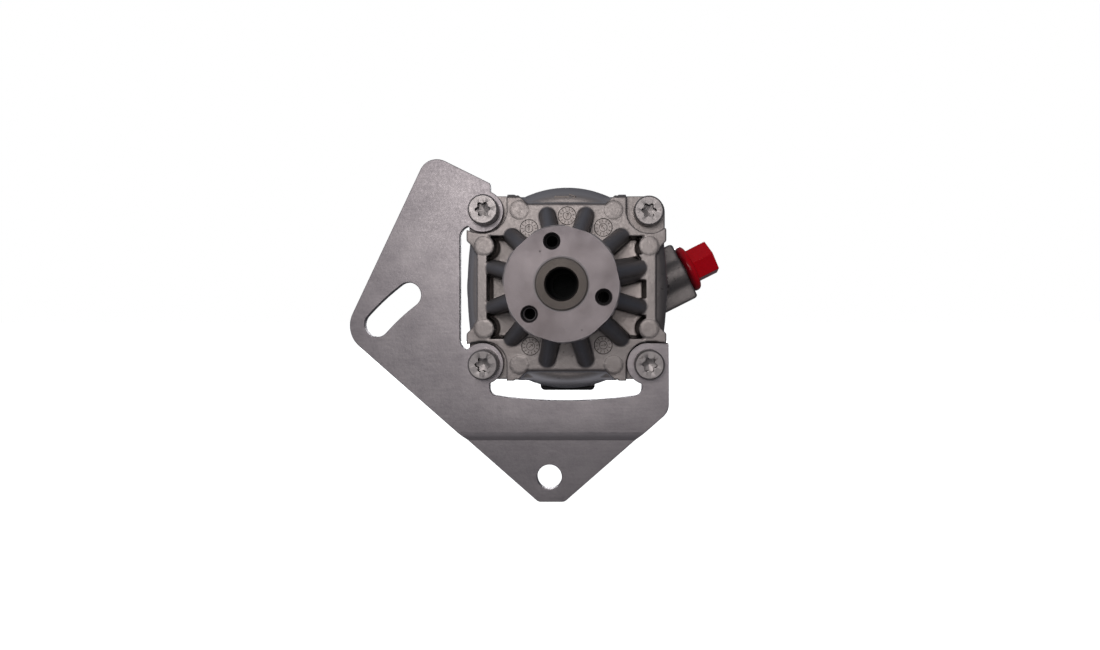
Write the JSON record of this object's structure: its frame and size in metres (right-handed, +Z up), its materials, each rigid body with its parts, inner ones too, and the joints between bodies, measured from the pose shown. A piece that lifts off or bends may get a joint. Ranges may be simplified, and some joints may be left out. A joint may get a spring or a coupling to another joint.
{
  "type": "vane pump for hydraulic power steering",
  "caption": "Hydraulic steering pump: ribbed cast body with a pulley flange, a side outlet with a transport plug and a sheet-steel pivot bracket.",
  "frame": {"origin": "centre of the pulley bolt circle on the drive flange's front face", "axes": "-Y out of the flange along the shaft, +X right and +Z up as seen from the front"},
  "size_m": [0.1751, 0.1475, 0.1523],
  "materials": {
    "bracket_steel": "dull rolled sheet",
    "cast_aluminium": "shot-blasted die casting",
    "flange_steel": "fine turned",
    "shaft_steel": "ground, lightly oxidised",
    "screw_steel": "zinc flake",
    "bearing_steel": "polished",
    "cage_brass": "pressed",
    "spring_steel": "phosphated",
    "seal_rubber": "black nitrile",
    "inner_steel": "ground",
    "bush_bronze": "plain bearing bronze",
    "red_plastic": "moulded",
    "stub_steel": "zinc plated"
  },
  "bodies": {
    "root": {"mounting_bracket": "bracket_steel", "front_cover": "cast_aluminium", "rear_housing": "cast_aluminium", "cover_screw_1": "screw_steel", "cover_screw_2": "screw_steel", "cover_screw_3": "screw_steel", "cover_screw_4": "screw_steel", "bearing_outer_ring": "bearing_steel", "bearing_circlip": "spring_steel", "shaft_seal": "seal_rubber", "cover_seal_ring": "seal_rubber", "front_plate": "inner_steel", "cam_ring": "inner_steel", "rear_plate": "inner_steel", "locating_pin_1": "inner_steel", "locating_pin_2": "inner_steel", "plate_spring": "spring_steel", "rear_bush": "bush_bronze", "outlet_union": "inner_steel", "union_seal_ring": "seal_rubber", "valve_spring": "spring_steel", "port_plug": "red_plastic", "suction_stub": "stub_steel"},
    "shaft": {"drive_shaft": "shaft_steel", "drive_flange": "flange_steel", "bearing_inner_ring": "bearing_steel", "rotor": "inner_steel", "vane_set": "inner_steel", "rotor_circlip": "spring_steel"},
    "bearing_set": {"bearing_balls": "bearing_steel", "bearing_cage": "cage_brass"},
    "spool": {"valve_spool": "inner_steel"}
  },
  "joints": [
    {"name": "shaft_spin", "type": "hinge", "parent": "root", "child": "shaft", "pos_m": [0, 0, 0], "axis": [0, 1, 0], "continuous": true},
    {"name": "bearing_roll", "type": "hinge", "parent": "root", "child": "bearing_set", "pos_m": [0, 0.0215, 0], "axis": [0, 1, 0], "continuous": true},
    {"name": "valve_slide", "type": "slide", "parent": "root", "child": "spool", "axis": [-0.8934, 0, -0.4493], "range_m": [0, 0.008], "stiffness_N_per_m": 1500, "springref_m": -0.004, "deforming": ["valve_spring"]}
  ],
  "couplings": [
    {"joint": "bearing_roll", "follows": "shaft_spin", "ratio": 0.4085}
  ]
}
